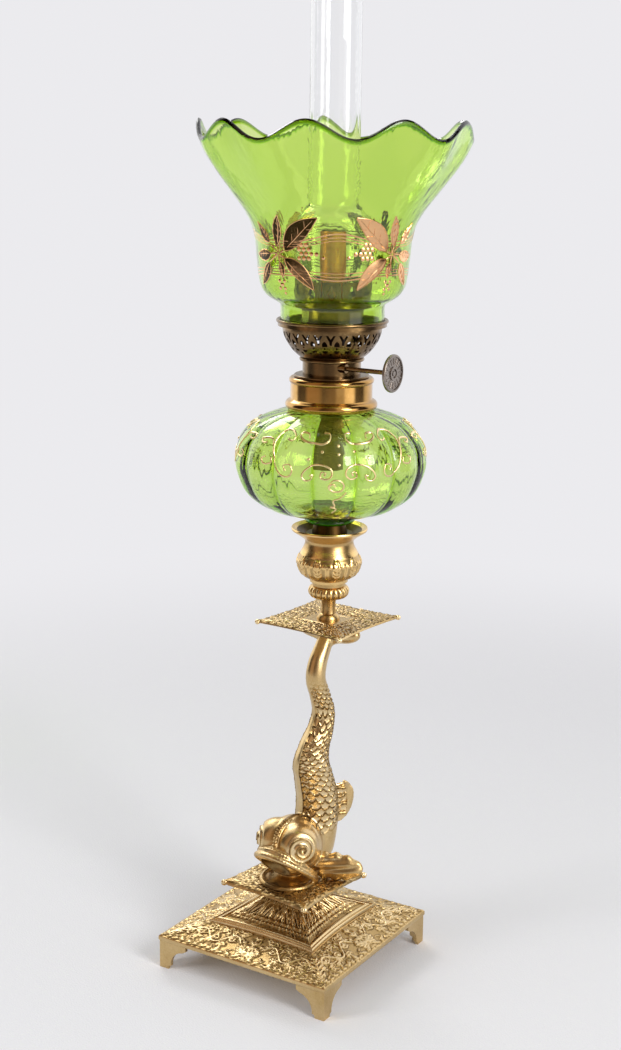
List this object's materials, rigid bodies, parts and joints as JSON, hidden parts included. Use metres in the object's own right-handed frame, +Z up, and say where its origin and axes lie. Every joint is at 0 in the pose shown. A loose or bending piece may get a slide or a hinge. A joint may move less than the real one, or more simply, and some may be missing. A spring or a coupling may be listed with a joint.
{
  "type": "peg oil lamp",
  "caption": "Brass dolphin candlestick carrying a peg oil lamp: lobed green glass font, round-wick burner, tall chimney and ruffled green shade.",
  "frame": {"origin": "on the table, under the middle of the whole lamp's outline", "axes": "+Z up the lamp; +X towards the wick knob; the fish looks towards -Y"},
  "size_m": [0.1588, 0.1712, 0.6499],
  "materials": {
    "cast_brass": "relief-cast, worn bright on the high places",
    "turned_brass": "polished",
    "burner_brass": "pierced and lacquered",
    "green_glass": "clear moulded green glass with gilt lines",
    "clear_glass": "clear blown glass",
    "plaster": "matt white plaster",
    "cotton": "woven cotton wick"
  },
  "bodies": {
    "candlestick": {"base_casting": "cast_brass", "foot_front_left": "cast_brass", "foot_front_right": "cast_brass", "foot_back_right": "cast_brass", "foot_back_left": "cast_brass", "base_washer": "turned_brass", "base_nut": "turned_brass", "cushion_plate": "cast_brass", "dolphin_column": "cast_brass", "drip_plate": "cast_brass", "socket_stem": "turned_brass", "candle_socket": "cast_brass"},
    "font": {"peg": "turned_brass", "peg_cement": "plaster", "font_glass": "green_glass", "collar_cement": "plaster", "font_collar": "turned_brass"},
    "burner": {"burner_skirt": "burner_brass", "burner_neck": "burner_brass", "spindle_bush": "burner_brass", "spindle_end_bearing": "burner_brass", "air_plate": "burner_brass", "gallery_basket": "burner_brass", "gallery_rim": "burner_brass", "chimney_holder": "burner_brass", "outer_wick_tube": "burner_brass", "inner_wick_tube": "burner_brass"},
    "wick": {"wick": "cotton"},
    "wick_knob": {"wick_spindle": "burner_brass", "sprocket_wheels": "burner_brass", "knob_disc": "burner_brass", "knob_hub": "burner_brass"},
    "chimney": {"chimney": "clear_glass"},
    "shade": {"shade": "green_glass"}
  },
  "joints": [
    {"name": "peg_lift", "type": "slide", "parent": "candlestick", "child": "font", "axis": [0, 0, 1], "range_m": [0, 0.03]},
    {"name": "burner_lift", "type": "slide", "parent": "font", "child": "burner", "axis": [0, 0, 1], "range_m": [0, 0.07]},
    {"name": "wick_knob_turn", "type": "hinge", "parent": "burner", "child": "wick_knob", "pos_m": [0, -0.00415, 0.3674], "axis": [1, 0, 0], "range_deg": [-200, 100]},
    {"name": "wick_raise", "type": "slide", "parent": "burner", "child": "wick", "axis": [0, 0, 1], "range_m": [-0.012, 0.006]},
    {"name": "chimney_lift", "type": "slide", "parent": "burner", "child": "chimney", "axis": [0, 0, 1], "range_m": [0, 0.06]},
    {"name": "shade_lift", "type": "slide", "parent": "burner", "child": "shade", "axis": [0, 0, 1], "range_m": [0, 0.262]}
  ],
  "couplings": [
    {"joint": "wick_raise", "follows": "wick_knob_turn", "m_per_rad": 0.0034}
  ]
}
